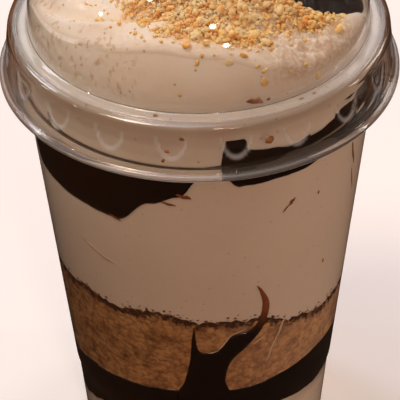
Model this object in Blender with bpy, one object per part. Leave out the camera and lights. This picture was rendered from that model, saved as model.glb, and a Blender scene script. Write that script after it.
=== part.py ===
"""Layered dessert in a clear plastic tumbler with a clear press-on dome lid.

From the bottom up: cream, chocolate, biscuit crumb, mousse, a sauce of dark chocolate and whipped
cream strewn with golden crumbs. Lengths are millimetres until a mesh is made, which is in metres.
The tumbler stands on Z = 0 with its axis on Z. Angles are degrees round Z from +X, so -90 faces
the front.
"""
import math
import random

import bmesh
import bpy
from mathutils import Vector, noise

MM = 0.001
SEGMENTS = 48            # facets round every turned piece, so that neighbours stay parallel
GAP = 0.3                # clearance between pieces that touch
WALL = 0.8               # thickness of the plastic

# Tumbler
CUP_HEIGHT = 99.6
BASE_RADIUS = 28.1       # of the wall's cone, where it meets the table
TAPER = 0.0821           # growth of the wall's radius for each millimetre of height
BASE_EDGE = 1.4          # radius of the rounded edge under the foot
FOOT_HEIGHT = 21.4       # top of the narrower foot that lets tumblers stack
FOOT_STEP = 0.35         # depth of the ledge above the foot
FLOOR_THICKNESS = 1.0
RIM_RADIUS = 39.5        # outside of the rolled rim
RIM_DROP = 1.0           # height of the rolled rim
RIM_ROLL = 0.5           # radius of its rounded edge

# Lid
BEAD_RADIUS = 41.0       # outside of the bead that clips round the rim
BEAD_LEVEL = 99.75
BEAD_HALF_HEIGHT = 0.55
BEAD_TO_SKIRT = 0.5      # height between the bead and the foot of the skirt
SKIRT_FOOT_RADIUS = 39.9
SKIRT_TOP_RADIUS = 38.45
SKIRT_TOP = 108.3
DECK_RADIUS = 37.3
DECK_LEVEL = 110.4
DOME_RADIUS = 34.5
DOME_HEIGHT = 27.0       # of the dome above the deck
DOME_SQUARENESS = 2.3    # 2 is an ellipse, more is boxier
DOME_STEPS = 7

# Heights of the layers' surfaces where they meet the wall: (angle, height)
CREAM_TOP = ((-180, 13), (-160, 13.8), (-150, 16.2), (-141, 18.4), (-110, 22), (-75, 24.4), (-57, 24.2),
             (-42, 22.8), (-23, 20.9), (20, 19.5), (75, 21), (130, 17))
CHOCOLATE_TOP = ((-180, 27.5), (-163, 28), (-140, 30.9), (-118, 32.4), (-98, 33.2), (-70, 32.9),
                 (-50, 34), (-35, 34.5), (0, 33), (60, 30.5), (120, 30))
CRUMB_TOP = ((-180, 54), (-152, 55), (-138, 56.2), (-127, 55.4), (-106, 57.2), (-91, 55.4), (-69, 54.4),
             (-54, 50.2), (-36, 47.7), (-10, 46.5), (50, 50), (100, 48.5), (140, 53))
MOUSSE_TOP = ((-175, 94.5), (-168, 93), (-160, 82.6), (-135, 82.4), (-119, 82), (-107, 88.3), (-97, 91),
              (-91, 95.8), (-84, 95.8), (-79, 93), (-54, 93.1), (-44, 94.4), (20, 94), (70, 90), (120, 93.5))
SAUCE_TOP = ((-180, 97.4), (-90, 97.4), (-76, 101.2), (-50, 100.3), (-34, 104.4), (0, 105), (45, 105.5),
             (85, 102), (120, 97.5))
# Height above the deck at which the whipped cream leaves the dome: (angle, height)
SWIRL_EDGE = ((-180, 6.5), (-162, 9), (-148, 9), (-125, 10.6), (-103, 12.1), (-85, 11.2), (-64, 7.6),
              (-50, 5.3), (-17, 4.7), (-6, 1.4), (40, 1.0), (75, 5), (110, 8), (150, 7))
FLARE = ((36.6, 2.1), (36.3, 0.6), (35.2, 0.1))  # cream squeezed out under the deck: radius, depth below it
SWIRL_PEAK = 15.0        # height of the cream's middle above the deck
SWIRL_ROUNDNESS = 2.2    # how late the cream falls off towards its edge
COIL_PITCH = 11.0        # spacing of the piped coils
COIL_RELIEF = 0.6
HOLLOW_CENTRE = (17.5, -0.5)   # of the steep hollow behind the crest
HOLLOW_RADII = (14.0, 11.0)
HOLLOW_DEPTH = 11.0

# A streak of chocolate that has run up between the crumb and the wall: (angle, height)
STREAK_OUTLINE = ((-101, 30), (-97.8, 36.3), (-95.4, 43), (-94.4, 50), (-93.3, 53.6), (-92.2, 47),
                  (-88, 45.7), (-83.4, 46.8), (-79, 50.4), (-72, 51.4), (-68.4, 54.5), (-69.6, 62.8),
                  (-67.6, 63), (-64.8, 57.5), (-67, 51), (-73.6, 46), (-79.2, 42.4), (-81.4, 36.5),
                  (-80, 30))
STREAK_DEPTH = 4.5       # how far the streak reaches in from the wall
STREAK_STEPS = 2         # points of the smooth outline for each of the points above
STREAK_CLEARANCE = 1.2   # behind the streak, whose back is made of wide flat facets

PUDDLE_CENTRE = (18.2, -0.2)
PUDDLE_RADII = (13.0, 9.6)
PUDDLE_THICKNESS = 1.6
PUDDLE_EDGE = 0.5

CRUMB_COUNT = 46
CRUMB_CENTRE = (4.0, -16.0)
CRUMB_SPREAD = (11.0, 6.0)
CRUMB_REACH = 27.0       # no crumb lies further from the axis than this
CRUMB_CLEARANCE = 2.5    # from the puddle
CRUMB_SIZES = (0.9, 1.7)  # smallest and largest radius
CRUMB_SEED = 12


def clear_scene():
    for thing in list(bpy.data.objects):
        bpy.data.objects.remove(thing, do_unlink=True)


def finish_of(name, colour, roughness, alpha=1.0):
    """A Principled material in the part's own colour."""
    material = bpy.data.materials.new(name)
    material.use_nodes = True
    shader = material.node_tree.nodes["Principled BSDF"]
    shader.inputs["Base Color"].default_value = (*colour, 1.0)
    shader.inputs["Roughness"].default_value = roughness
    shader.inputs["Metallic"].default_value = 0.0
    shader.inputs["Alpha"].default_value = alpha
    material.diffuse_color = (*colour, alpha)
    return material


def object_from(mesh_in_mm, name, material):
    """Turns a closed bmesh in millimetres into a shaded object in metres."""
    bmesh.ops.triangulate(mesh_in_mm, faces=mesh_in_mm.faces)
    bmesh.ops.recalc_face_normals(mesh_in_mm, faces=mesh_in_mm.faces)
    bmesh.ops.scale(mesh_in_mm, vec=Vector((MM, MM, MM)), verts=mesh_in_mm.verts)
    mesh = bpy.data.meshes.new(name)
    mesh_in_mm.to_mesh(mesh)
    mesh_in_mm.free()
    piece = bpy.data.objects.new(name, mesh)
    bpy.context.scene.collection.objects.link(piece)
    mesh.shade_smooth()
    mesh.set_sharp_from_angle(angle=math.radians(35))
    mesh.materials.append(material)
    return piece


def smooth_stops(stops, angle):
    """Height at an angle, eased between the nearest stops of a ring of (angle, height)."""
    turned_angle = (angle - stops[0][0]) % 360 + stops[0][0]
    ring = list(stops) + [(stops[0][0] + 360, stops[0][1])]
    for (start, low), (end, high) in zip(ring, ring[1:]):
        if turned_angle <= end:
            share = (turned_angle - start) / (end - start)
            ease = share * share * (3 - 2 * share)
            return low + (high - low) * ease
    return stops[0][1]


def mean_height(stops):
    return sum(smooth_stops(stops, angle) for angle in range(0, 360, 10)) / 36


def outer_wall(height):
    return BASE_RADIUS + TAPER * height


def inner_wall(height):
    return outer_wall(height) - WALL


def column_radius(height):
    """Radius of the food: against the tumbler's wall, then straight up above the rim."""
    return inner_wall(min(height, CUP_HEIGHT)) - GAP


def dome_radius(height_above_deck, thickness=0.0):
    """Radius of the dome, or of its inside when a thickness is given."""
    rise = min(max(height_above_deck / (DOME_HEIGHT - thickness), 0.0), 1.0)
    return (DOME_RADIUS - thickness) * (1 - rise ** DOME_SQUARENESS) ** (1 / DOME_SQUARENESS)


def turned(name, profile, material):
    """Solid of revolution of a profile of (radius, height) that starts and ends on the axis.

    A shell's profile crosses the axis once more, between its outer and its inner face.
    """
    built = bmesh.new()
    rings = []
    for radius, height in profile:
        if radius == 0:
            rings.append([built.verts.new((0, 0, height))])
            continue
        rings.append([built.verts.new((radius * math.cos(turn), radius * math.sin(turn), height))
                      for turn in ring_turns()])
    for lower, upper in zip(rings, rings[1:] + rings[:1]):
        if len(lower) > 1 or len(upper) > 1:
            bridge(built, lower, upper)
    return object_from(built, name, material)


def ring_turns():
    return [math.tau * step / SEGMENTS for step in range(SEGMENTS)]


def bridge(built, lower, upper):
    """Joins two rings, or a ring and a point, with triangles.

    Each quad is split from its outer ring's corner to the next corner of its inner ring, so that
    the facing surfaces of two neighbours are split alike and stay parallel.
    """
    outer, inner = sorted((lower, upper), key=lambda ring: -ring[0].co.xy.length)
    if len(inner) == 1 or len(outer) == 1:
        point, ring = (inner[0], outer) if len(inner) == 1 else (outer[0], inner)
        for here, following in zip(ring, ring[1:] + ring[:1]):
            built.faces.new((point, here, following))
        return
    for step, here in enumerate(outer):
        following = (step + 1) % len(outer)
        built.faces.new((here, inner[following], inner[step]))
        built.faces.new((here, outer[following], inner[following]))


def arc(centre, radius, start, end, steps):
    """Points of an arc in the (radius, height) plane, from one angle to another in degrees."""
    turns = [math.radians(start + (end - start) * step / steps) for step in range(steps + 1)]
    return [(centre[0] + radius * math.cos(turn), centre[1] + radius * math.sin(turn)) for turn in turns]


def make_cup():
    rim_foot = CUP_HEIGHT - RIM_DROP
    foot_radius = outer_wall(FOOT_HEIGHT) - FOOT_STEP
    base_radius = outer_wall(0)
    edge = arc((base_radius - BASE_EDGE, BASE_EDGE), BASE_EDGE, -90, 0, 3)
    roll = arc((RIM_RADIUS - RIM_ROLL, CUP_HEIGHT - RIM_ROLL), RIM_ROLL, -60, 90, 4)
    profile = [(0, 0)] + edge
    profile += [(foot_radius, FOOT_HEIGHT), (outer_wall(FOOT_HEIGHT + 0.6), FOOT_HEIGHT + 0.6)]
    profile += [(outer_wall(rim_foot - 1.2), rim_foot - 1.2), (outer_wall(rim_foot) + 0.9, rim_foot)]
    profile += roll
    profile += [(inner_wall(CUP_HEIGHT) + 0.9, CUP_HEIGHT), (inner_wall(CUP_HEIGHT - 1), CUP_HEIGHT - 1)]
    profile += [(inner_wall(FLOOR_THICKNESS), FLOOR_THICKNESS), (0, FLOOR_THICKNESS)]
    return turned("cup", profile, finish_of("clear_cup_plastic", (0.86, 0.84, 0.80), 0.08, 0.3))


def dome_profile(thickness):
    """Points up one face of the dome, from the deck to the axis."""
    height = DOME_HEIGHT - thickness
    points = []
    for step in range(DOME_STEPS):
        rise = height * math.sin(math.pi / 2 * step / DOME_STEPS)
        points.append((dome_radius(rise, thickness), DECK_LEVEL + rise))
    return points + [(0, DECK_LEVEL + height)]


def make_lid():
    """One thin sheet: its profile runs over the outside to the axis and back down the inside."""
    bead_top = BEAD_LEVEL + BEAD_HALF_HEIGHT
    outside = arc((BEAD_RADIUS - BEAD_HALF_HEIGHT, BEAD_LEVEL), BEAD_HALF_HEIGHT, -58, 70, 4)
    outside += [(SKIRT_FOOT_RADIUS, bead_top + BEAD_TO_SKIRT), (SKIRT_TOP_RADIUS, SKIRT_TOP)]
    outside += [(DECK_RADIUS + 0.55, DECK_LEVEL - 0.5), (DECK_RADIUS, DECK_LEVEL - 0.1)]
    outside += dome_profile(0.0)
    inside = list(reversed(dome_profile(WALL)))
    inside[-1] = (DOME_RADIUS - WALL, DECK_LEVEL - WALL)
    inside += [(DECK_RADIUS - 0.3, DECK_LEVEL - WALL - 0.1), (SKIRT_TOP_RADIUS - WALL, SKIRT_TOP - 0.2)]
    inside += [(SKIRT_FOOT_RADIUS - WALL, bead_top + BEAD_TO_SKIRT - 0.1)]
    inside += [(RIM_RADIUS + GAP, CUP_HEIGHT + GAP), (RIM_RADIUS + GAP, BEAD_LEVEL - BEAD_HALF_HEIGHT + 0.3)]
    return turned("lid", outside + inside, finish_of("clear_lid_plastic", (0.88, 0.87, 0.85), 0.06, 0.3))


def layer_mesh(floor, top, rings=(0.4, 0.8, 1.0)):
    """Closed disc of food between two surfaces, each a function of (angle, share of the radius)."""
    built = bmesh.new()

    def ring(surface, share):
        corners = []
        for turn in ring_turns():
            height = surface(math.degrees(turn), share)
            radius = share * column_radius(height)
            corners.append(built.verts.new((radius * math.cos(turn), radius * math.sin(turn), height)))
        return corners

    under = [[built.verts.new((0, 0, floor(0, 0)))]] + [ring(floor, share) for share in rings]
    over = [ring(top, share) for share in reversed(rings)] + [[built.verts.new((0, 0, top(0, 0)))]]
    for lower, upper in zip(under + over, (under + over)[1:]):
        bridge(built, lower, upper)
    return built


def surface_from(stops, offset=0.0):
    """Surface that meets the wall at the stops' heights and levels out towards the axis."""
    middle = mean_height(stops)

    def height(angle, share):
        return middle + (smooth_stops(stops, angle) - middle) * share ** 1.5 + offset

    return height


def flat_surface(height):
    return lambda angle, share: height


def smooth_outline(points, steps):
    """Closed Catmull-Rom curve through the points."""
    count = len(points)
    curve = []
    for place in range(count):
        before, start, end, after = (points[(place + shift) % count] for shift in (-1, 0, 1, 2))
        for step in range(steps):
            t = step / steps
            curve.append(tuple(
                0.5 * (2 * b + (c - a) * t + (2 * a - 5 * b + 4 * c - d) * t * t
                       + (3 * b - a - 3 * c + d) * t ** 3)
                for a, b, c, d in zip(before, start, end, after)))
    return curve


def grown_outline(points, margin):
    """The outline pushed out by a margin in millimetres, on the unrolled wall, with mitred corners."""
    grown = []
    count = len(points)
    for place, (angle, height) in enumerate(points):
        scale = math.radians(1) * inner_wall(height)
        before, after = points[place - 1], points[(place + 1) % count]
        arriving = Vector(((angle - before[0]) * scale, height - before[1])).normalized()
        leaving = Vector(((after[0] - angle) * scale, after[1] - height)).normalized()
        along = (arriving + leaving).normalized()
        mitre = margin / max(along.dot(leaving), 0.25)
        outward = Vector((-along.y, along.x)) * mitre
        grown.append((angle + outward.x / scale, height + outward.y))
    return grown


def wall_plug(name, outline, front, back, material):
    """Solid between two depths behind the wall, with an outline of (angle, height)."""
    built = bmesh.new()
    faces = []
    for depth in (front, back):
        corners = []
        for angle, height in outline:
            turn = math.radians(angle)
            radius = inner_wall(height) - depth(height)
            corners.append(built.verts.new((radius * math.cos(turn), radius * math.sin(turn), height)))
        faces.append(corners)
    bridge(built, *faces)
    for corners in faces:
        edges = [built.edges.get((a, b)) for a, b in zip(corners, corners[1:] + corners[:1])]
        bmesh.ops.triangle_fill(built, edges=edges, use_beauty=True)
    return object_from(built, name, material)


def boolean(target, operation, other, solver):
    """Applies one Boolean with an object or a collection, and removes what it used."""
    cut = target.modifiers.new(operation, "BOOLEAN")
    cut.operation = operation
    cut.solver = solver
    if isinstance(other, bpy.types.Collection):
        cut.operand_type = "COLLECTION"
        cut.collection = other
    else:
        cut.object = other
    bpy.context.view_layer.update()
    with bpy.context.temp_override(object=target, active_object=target):
        bpy.ops.object.modifier_apply(modifier=cut.name)


def remove(thing):
    bpy.data.objects.remove(thing, do_unlink=True)


def make_layers():
    """The five layers below the whipped cream, each a disc that runs through the food."""
    cream = finish_of("pale_cream", (0.62, 0.46, 0.36), 0.6)
    chocolate = finish_of("dark_chocolate", (0.016, 0.007, 0.006), 0.35)
    crumb = finish_of("biscuit_crumb", (0.36, 0.20, 0.09), 0.9)
    mousse = finish_of("pale_mousse", (0.60, 0.45, 0.35), 0.55)
    sauce = finish_of("dark_sauce", (0.014, 0.006, 0.005), 0.25)

    object_from(layer_mesh(flat_surface(FLOOR_THICKNESS + GAP), surface_from(CREAM_TOP)),
                "bottom_cream", cream)
    chocolate_layer = object_from(
        layer_mesh(surface_from(CREAM_TOP, GAP), surface_from(CHOCOLATE_TOP)), "chocolate_layer", chocolate)
    crumb_layer = object_from(
        layer_mesh(surface_from(CHOCOLATE_TOP, GAP), surface_from(CRUMB_TOP)), "crumb_layer", crumb)
    mousse_layer = object_from(
        layer_mesh(surface_from(CRUMB_TOP, GAP), surface_from(MOUSSE_TOP)), "mousse", mousse)
    object_from(layer_mesh(surface_from(MOUSSE_TOP, GAP), surface_from(SAUCE_TOP)),
                "chocolate_sauce", sauce)
    run_streak_up(chocolate_layer, (crumb_layer, mousse_layer))


def run_streak_up(chocolate_layer, covered_layers):
    """Joins the streak to the chocolate and cuts the layers above round it."""
    outline = smooth_outline(STREAK_OUTLINE, STREAK_STEPS)
    buried = CHOCOLATE_TOP[4][1]

    def front(height):
        return GAP if height > buried else 2 * GAP

    streak = wall_plug("streak", outline, front, lambda height: STREAK_DEPTH,
                       finish_of("dark_streak", (0.016, 0.007, 0.006), 0.35))
    cutter = wall_plug("streak_cutter", grown_outline(outline, GAP), lambda height: -2.0,
                       lambda height: STREAK_DEPTH + STREAK_CLEARANCE, finish_of("cutter", (0.5, 0.5, 0.5), 0.5))
    for layer in covered_layers:
        boolean(layer, "DIFFERENCE", cutter, "EXACT")
    boolean(chocolate_layer, "UNION", streak, "EXACT")
    remove(cutter)
    remove(streak)


def swirl_height(x, y):
    """Height above the deck of the whipped cream's top."""
    radius = math.hypot(x, y)
    angle = math.degrees(math.atan2(y, x))
    share = min(radius / DOME_RADIUS, 1.0) ** SWIRL_ROUNDNESS
    mound = SWIRL_PEAK + (smooth_stops(SWIRL_EDGE, angle) - SWIRL_PEAK) * share
    coil = COIL_RELIEF * math.cos(math.tau * (radius / COIL_PITCH - angle / 360)) * min(radius / 8, 1)
    reach = math.hypot((x - HOLLOW_CENTRE[0]) / HOLLOW_RADII[0], (y - HOLLOW_CENTRE[1]) / HOLLOW_RADII[1])
    return mound + coil - HOLLOW_DEPTH * math.exp(-reach ** 4)


def make_whipped_cream():
    """Cream from the sauce up into the dome, which it touches all round, under a piped top."""
    built = bmesh.new()
    under_deck = DECK_LEVEL - WALL - GAP
    dome_inside = DOME_RADIUS - WALL - GAP
    floor = surface_from(SAUCE_TOP, GAP)

    def ring(place):
        corners = []
        for turn in ring_turns():
            radius, height = place(math.degrees(turn))
            corners.append(built.verts.new((radius * math.cos(turn), radius * math.sin(turn), height)))
        return corners

    def floor_ring(share):
        def place(angle):
            height = floor(angle, share)
            return share * column_radius(height), height
        return ring(place)

    def edge_of_swirl(angle):
        rise = max(smooth_stops(SWIRL_EDGE, angle), 1.2)
        return min(dome_inside, dome_radius(rise, WALL) - GAP), DECK_LEVEL + rise

    def top_ring(share):
        def place(angle):
            reach = share * edge_of_swirl(angle)[0]
            turn = math.radians(angle)
            rise = swirl_height(reach * math.cos(turn), reach * math.sin(turn))
            return reach, DECK_LEVEL + max(rise, -0.5)
        return ring(place)

    rings = [[built.verts.new((0, 0, floor(0, 0)))], floor_ring(0.4), floor_ring(0.8), floor_ring(1.0)]
    for radius, below_deck in FLARE:
        rings += [ring(lambda angle: (radius, under_deck - below_deck))]
    rings += [ring(lambda angle: (dome_inside, under_deck)), ring(edge_of_swirl)]
    rings += [top_ring(share) for share in (0.93, 0.82, 0.69, 0.55, 0.4, 0.22)]
    rings += [[built.verts.new((0, 0, DECK_LEVEL + swirl_height(0, 0)))]]
    for lower, upper in zip(rings, rings[1:]):
        bridge(built, lower, upper)
    cream = object_from(built, "whipped_cream", finish_of("whipped_cream", (0.80, 0.66, 0.52), 0.55))
    strew_crumbs(cream)
    return cream


def resting_height(piece, x, y):
    """Height of the piece's top straight below a point, in millimetres."""
    hit, place, _, _ = piece.ray_cast(Vector((x * MM, y * MM, 1.0)), Vector((0, 0, -1)))
    return place.z / MM if hit else 0.0


def strew_crumbs(cream):
    """Golden biscuit crumbs, uneven stones half sunk in the cream and fused with it."""
    draw = random.Random(CRUMB_SEED)
    crumbs = bpy.data.collections.new("crumbs")
    bpy.context.scene.collection.children.link(crumbs)
    finish = finish_of("golden_crumb", (0.62, 0.30, 0.08), 0.85)
    placed = []
    bpy.context.view_layer.update()
    while len(placed) < CRUMB_COUNT:
        x = draw.gauss(CRUMB_CENTRE[0], CRUMB_SPREAD[0])
        y = draw.gauss(CRUMB_CENTRE[1], CRUMB_SPREAD[1])
        size = draw.uniform(*CRUMB_SIZES)
        clear_of_puddle = math.hypot((x - PUDDLE_CENTRE[0]) / (PUDDLE_RADII[0] + CRUMB_CLEARANCE),
                                     (y - PUDDLE_CENTRE[1]) / (PUDDLE_RADII[1] + CRUMB_CLEARANCE)) > 1
        apart = all(math.dist((x, y), other[:2]) > 0.8 * (size + other[2]) for other in placed)
        if math.hypot(x, y) > CRUMB_REACH or not clear_of_puddle or not apart:
            continue
        placed.append((x, y, size))
        built = bmesh.new()
        bmesh.ops.create_icosphere(built, subdivisions=1, radius=size)
        stretch = Vector((draw.uniform(0.75, 1.25), draw.uniform(0.75, 1.25), draw.uniform(0.6, 0.9)))
        for corner in built.verts:
            rough = 1 + 0.25 * noise.noise(corner.co * 1.1 + Vector((x, y, size)))
            corner.co = Vector(a * b for a, b in zip(corner.co * rough, stretch))
            corner.co += Vector((x, y, resting_height(cream, x, y) + 0.3 * size))
        crumb = object_from(built, "crumb", finish)
        bpy.context.scene.collection.objects.unlink(crumb)
        crumbs.objects.link(crumb)
    boolean(cream, "UNION", crumbs, "MANIFOLD")
    for crumb in list(crumbs.objects):
        remove(crumb)
    bpy.data.collections.remove(crumbs)


def make_puddle(cream):
    """Pool of dark sauce in the hollow of the whipped cream."""
    built = bmesh.new()
    bpy.context.view_layer.update()
    shares = (0.35, 0.7, 1.0)
    count = 24

    def ring(share, lift):
        corners = []
        for step in range(count):
            turn = math.tau * step / count
            x = PUDDLE_CENTRE[0] + share * PUDDLE_RADII[0] * math.cos(turn)
            y = PUDDLE_CENTRE[1] + share * PUDDLE_RADII[1] * math.sin(turn)
            corners.append(built.verts.new((x, y, resting_height(cream, x, y) + lift(share))))
        return corners

    def underside(share):
        return 3 * GAP

    def skin(share):
        return 3 * GAP + PUDDLE_EDGE + (PUDDLE_THICKNESS - PUDDLE_EDGE) * math.cos(share * math.pi / 2)

    middle = resting_height(cream, *PUDDLE_CENTRE)
    rings = [[built.verts.new((*PUDDLE_CENTRE, middle + underside(0)))]]
    rings += [ring(share, underside) for share in shares]
    rings += [ring(share, skin) for share in reversed(shares)]
    rings += [[built.verts.new((*PUDDLE_CENTRE, middle + skin(0)))]]
    for lower, upper in zip(rings, rings[1:]):
        bridge(built, lower, upper)
    return object_from(built, "sauce_puddle", finish_of("puddle_sauce", (0.014, 0.006, 0.005), 0.2))


clear_scene()
make_cup()
make_lid()
make_layers()
make_puddle(make_whipped_cream())
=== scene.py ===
"""Looks of a layered dessert in a clear tumbler with a clear press-on dome lid.

Shapes are worked out in millimetres and degrees round the tumbler's axis (-90 faces the camera) and
become metres when a mesh is made. The driving sizes repeat the model's own.
"""
import math
import random

import bmesh
import bpy
from mathutils import Matrix, Vector, geometry, noise


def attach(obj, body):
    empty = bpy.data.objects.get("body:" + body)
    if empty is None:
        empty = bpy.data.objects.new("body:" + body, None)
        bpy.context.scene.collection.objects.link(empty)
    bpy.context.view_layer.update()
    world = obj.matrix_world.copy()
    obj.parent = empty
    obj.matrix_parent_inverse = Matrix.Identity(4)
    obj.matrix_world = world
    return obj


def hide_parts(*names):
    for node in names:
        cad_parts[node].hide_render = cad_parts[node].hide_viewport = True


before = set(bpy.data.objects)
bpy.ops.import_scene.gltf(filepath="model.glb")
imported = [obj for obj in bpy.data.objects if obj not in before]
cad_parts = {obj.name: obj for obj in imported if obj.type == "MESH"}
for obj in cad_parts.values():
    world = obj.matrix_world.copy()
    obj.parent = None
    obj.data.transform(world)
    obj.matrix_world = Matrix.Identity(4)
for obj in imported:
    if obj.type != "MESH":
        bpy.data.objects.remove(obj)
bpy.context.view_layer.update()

MM = 0.001
PLASTIC = 0.8            # thickness of the tumbler's wall

# Tumbler
CUP_HEIGHT = 99.6
BASE_RADIUS = 28.1
TAPER = 0.0821
BASE_EDGE = 1.4
FOOT_HEIGHT = 21.4
FOOT_STEP = 0.35
LEDGE_HEIGHT = 0.8       # of the ledge above the foot
FLOOR_THICKNESS = 1.0
RIM_RADIUS = 39.5
RIM_DROP = 1.0
RIM_ROLL = 0.5           # radius of the rim's rounded edge
RIM_SPREAD = 0.7         # how far the wall leans out under it
MOUTH_SPREAD = 0.8       # how far the mouth widens, and over what depth
MOUTH_DEPTH = 1.2

# Lid
BEAD_RADIUS = 41.0
BEAD_LEVEL = 99.75
BEAD_HALF_HEIGHT = 0.55
SHEET = 0.4              # real thickness of the lid's sheet, measured in from its outside
SKIRT_FOOT_RADIUS = 39.9
SKIRT_TOP_RADIUS = 38.45
SKIRT_TOP = 108.3
DECK_RADIUS = 37.3
DECK_LEVEL = 110.4
DOME_RADIUS = 34.5
DOME_HEIGHT = 27.0
DOME_SQUARENESS = 2.3
DIMPLES = 20
DIMPLE_PHASE = -80.0     # angle of the dimple nearest the front
DIMPLE_WIDTH = 2.7       # half the width of a dimple's pocket
DIMPLE_DROP = 4.7        # its depth down the skirt
DIMPLE_DEPTH = 0.35      # how far it is pressed in
DIMPLE_RING = 0.10       # half width of the pale ring painted round it as a reflection, as a share of its size
DOME_FILLET = 0.5        # radius between dome and deck
CREASE_RADIUS = 36.95    # groove between the deck and the rounded shoulder
CREASE_DROP = 0.16       # its depth
SHOULDER_RADIUS = 1.35
SHOULDER_CENTRE = (DECK_RADIUS + 0.05, DECK_LEVEL - 1.5)
SKIRT_LIFT = 0.2         # height of the skirt's foot above the bead
BEAD_ROLL = 0.4          # radii of the bead's rounded top edge and of its lip
LIP_ROLL = 0.2
DECK_HAZE = 0.13         # share of light that the stretched sheet scatters
# pale ring round each dimple: a painted reflection
RING_REFLECTION = 0.20
DECK_RIGHT_HIGHLIGHT = 1.2         # how much more it does so at the right: a painted highlight where a lamp is reflected in the deck
RIM_HAZE = 0.03          # of the tumbler's rolled rim
BEAD_HAZE = 0.10
DECK_SHADE = 0.8         # share of the shoulder's shading that the deck and the skirt have
SKIRT_SHADE = 0.12

# Heights at which the layers meet the wall: (angle, height)
CREAM_TOP = ((-180, 13), (-160, 13.8), (-150, 16.2), (-141, 18.4), (-110, 22), (-75, 24.4), (-57, 24.2),
             (-42, 22.8), (-23, 20.9), (20, 19.5), (75, 21), (130, 17))
CHOCOLATE_TOP = ((-180, 27.5), (-163, 28), (-140, 30.9), (-118, 32.4), (-98, 33.2), (-70, 32.9),
                 (-50, 34), (-35, 34.5), (0, 33), (60, 30.5), (120, 30))
CRUMB_TOP = ((-180, 54), (-152, 55), (-138, 56.2), (-127, 55.4), (-106, 57.2), (-91, 55.4), (-69, 54.4),
             (-54, 50.2), (-36, 47.7), (-10, 46.5), (50, 50), (100, 48.5), (140, 53))
MOUSSE_TOP = ((-175, 94.5), (-168, 93), (-160, 82.6), (-135, 82.4), (-119, 82), (-107, 88.3), (-97, 91),
              (-91, 95.8), (-82.8, 95.8), (-78, 93), (-54, 93.1), (-44, 94.4), (20, 94), (70, 90),
              (120, 93.5))
SAUCE_TOP = ((-180, 97.4), (-90, 97.4), (-84.2, 98), (-82.6, 105.6), (-77, 105.8), (-75.2, 101.9),
             (-68, 101.2), (-61, 100.2), (-50, 100.8), (-45, 101.8), (-40, 103.8), (-34, 105), (0, 105.2),
             (45, 105.5), (85, 102), (120, 97.5))
SWIRL_EDGE = ((-180, 6.5), (-162, 9), (-148, 9), (-125, 10.6), (-103, 12.1), (-85, 11.2), (-64, 7.6),
              (-50, 5.3), (-17, 4.7), (-6, 1.4), (40, 1.0), (75, 5), (110, 8), (150, 7))
LIP_ROUNDING = 1.3       # height of the cream's rounded edge against the dome
SWIRL_PEAK = 15.0
SWIRL_ROUNDNESS = 2.2
COIL_PITCH = 11.0
COIL_RELIEF = 0.6
CREASE_START = (-158, 31.4)   # angle and radius at which the outer coil's crease leaves the dome
CREASE_SLOPE = -0.19          # its radius changes by this much for each degree
CREASE_DEPTH = 2.2
CREASE_WIDTH = 1.5
RIBBON_RISE = 0.7             # the outer coil's rounded crest, how far outside the crease it is, its width
RIBBON_OFFSET = 3.2
RIBBON_WIDTH = 1.8
HOLLOW_CENTRE = (17.5, -0.5)
HOLLOW_RADII = (14.0, 11.0)
HOLLOW_DEPTH = 11.0
STREAK_OUTLINE = ((-101, 30), (-97.8, 36.3), (-95.4, 43), (-94.4, 50), (-93.3, 53.6), (-92.2, 47),
                  (-88, 45.7), (-83.4, 46.8), (-79, 50.4), (-72, 51.4), (-68.6, 54), (-67.7, 58.5),
                  (-69, 62), (-70.3, 64.3), (-67.6, 62.2), (-64.8, 57.5), (-67, 51), (-73.6, 46),
                  (-79.2, 42.4), (-81.4, 36.5), (-80, 30))
STREAK_DEPTH = 4.0
SPECKS = 420             # grains above the crumb layer
HEAPS = (((0.0, -16.5), (13.5, 8.5), 1.0), ((17.5, -15.0), (9.5, 4.5), 1.0),
         ((2.0, -26.5), (10.5, 5.0), 0.8))    # centre, radii and how thickly it is strewn
HEAP_THICKNESS = 1.5
STREWN_CENTRE = (5.0, -13.0)   # of all crumbs, and how far they spread across and back
STREWN_SPREAD = (12.5, 8.5)
STRAY_CHANCE = 0.035     # chance that a crumb stays where it falls outside the heaps
STREWN_LIMIT = 31        # no crumb lies further from the axis
HOLLOW_CLEARANCE = 1.12  # nor nearer to the hollow's middle, as a share of its size
CRUMB_KINDS = ((170, (0.60, 0.95), 2), (2900, (0.30, 0.60), 1),
               (5200, (0.14, 0.30), 1))    # how many, least and greatest radius, and how finely divided
LARGE_CRUMBS = ((21.6, -13.0, 1.1), (28.0, -11.8, 1.1), (-18.4, -18.9, 0.8), (-5.5, -22.0, 1.2),
                (-2.0, -24.5, 1.0), (5.5, -25.0, 1.1), (12.5, -22.5, 0.9), (-5.7, -26.1, 1.1),
                (-1.3, -28.3, 0.8), (3.8, -29.2, 0.8), (9.5, -25.4, 1.2), (12.3, -26.1, 0.8),
                (8.2, -27.8, 0.8), (26.5, -17.8, 0.9))    # across, back and radius
TORN_CENTRE = (20.5, -20.0)    # of the curdled cream
TORN_REACH = 16.0
PUDDLE_CENTRE = (18.6, -0.2)
PUDDLE_RADII = (14.4, 10.6)
PUDDLE_LIMIT = 33.4      # radius at which the dome stops it
PUDDLE_THICKNESS = 1.6
PUDDLE_ROOT = 0.6        # how far it reaches into the cream

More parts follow.
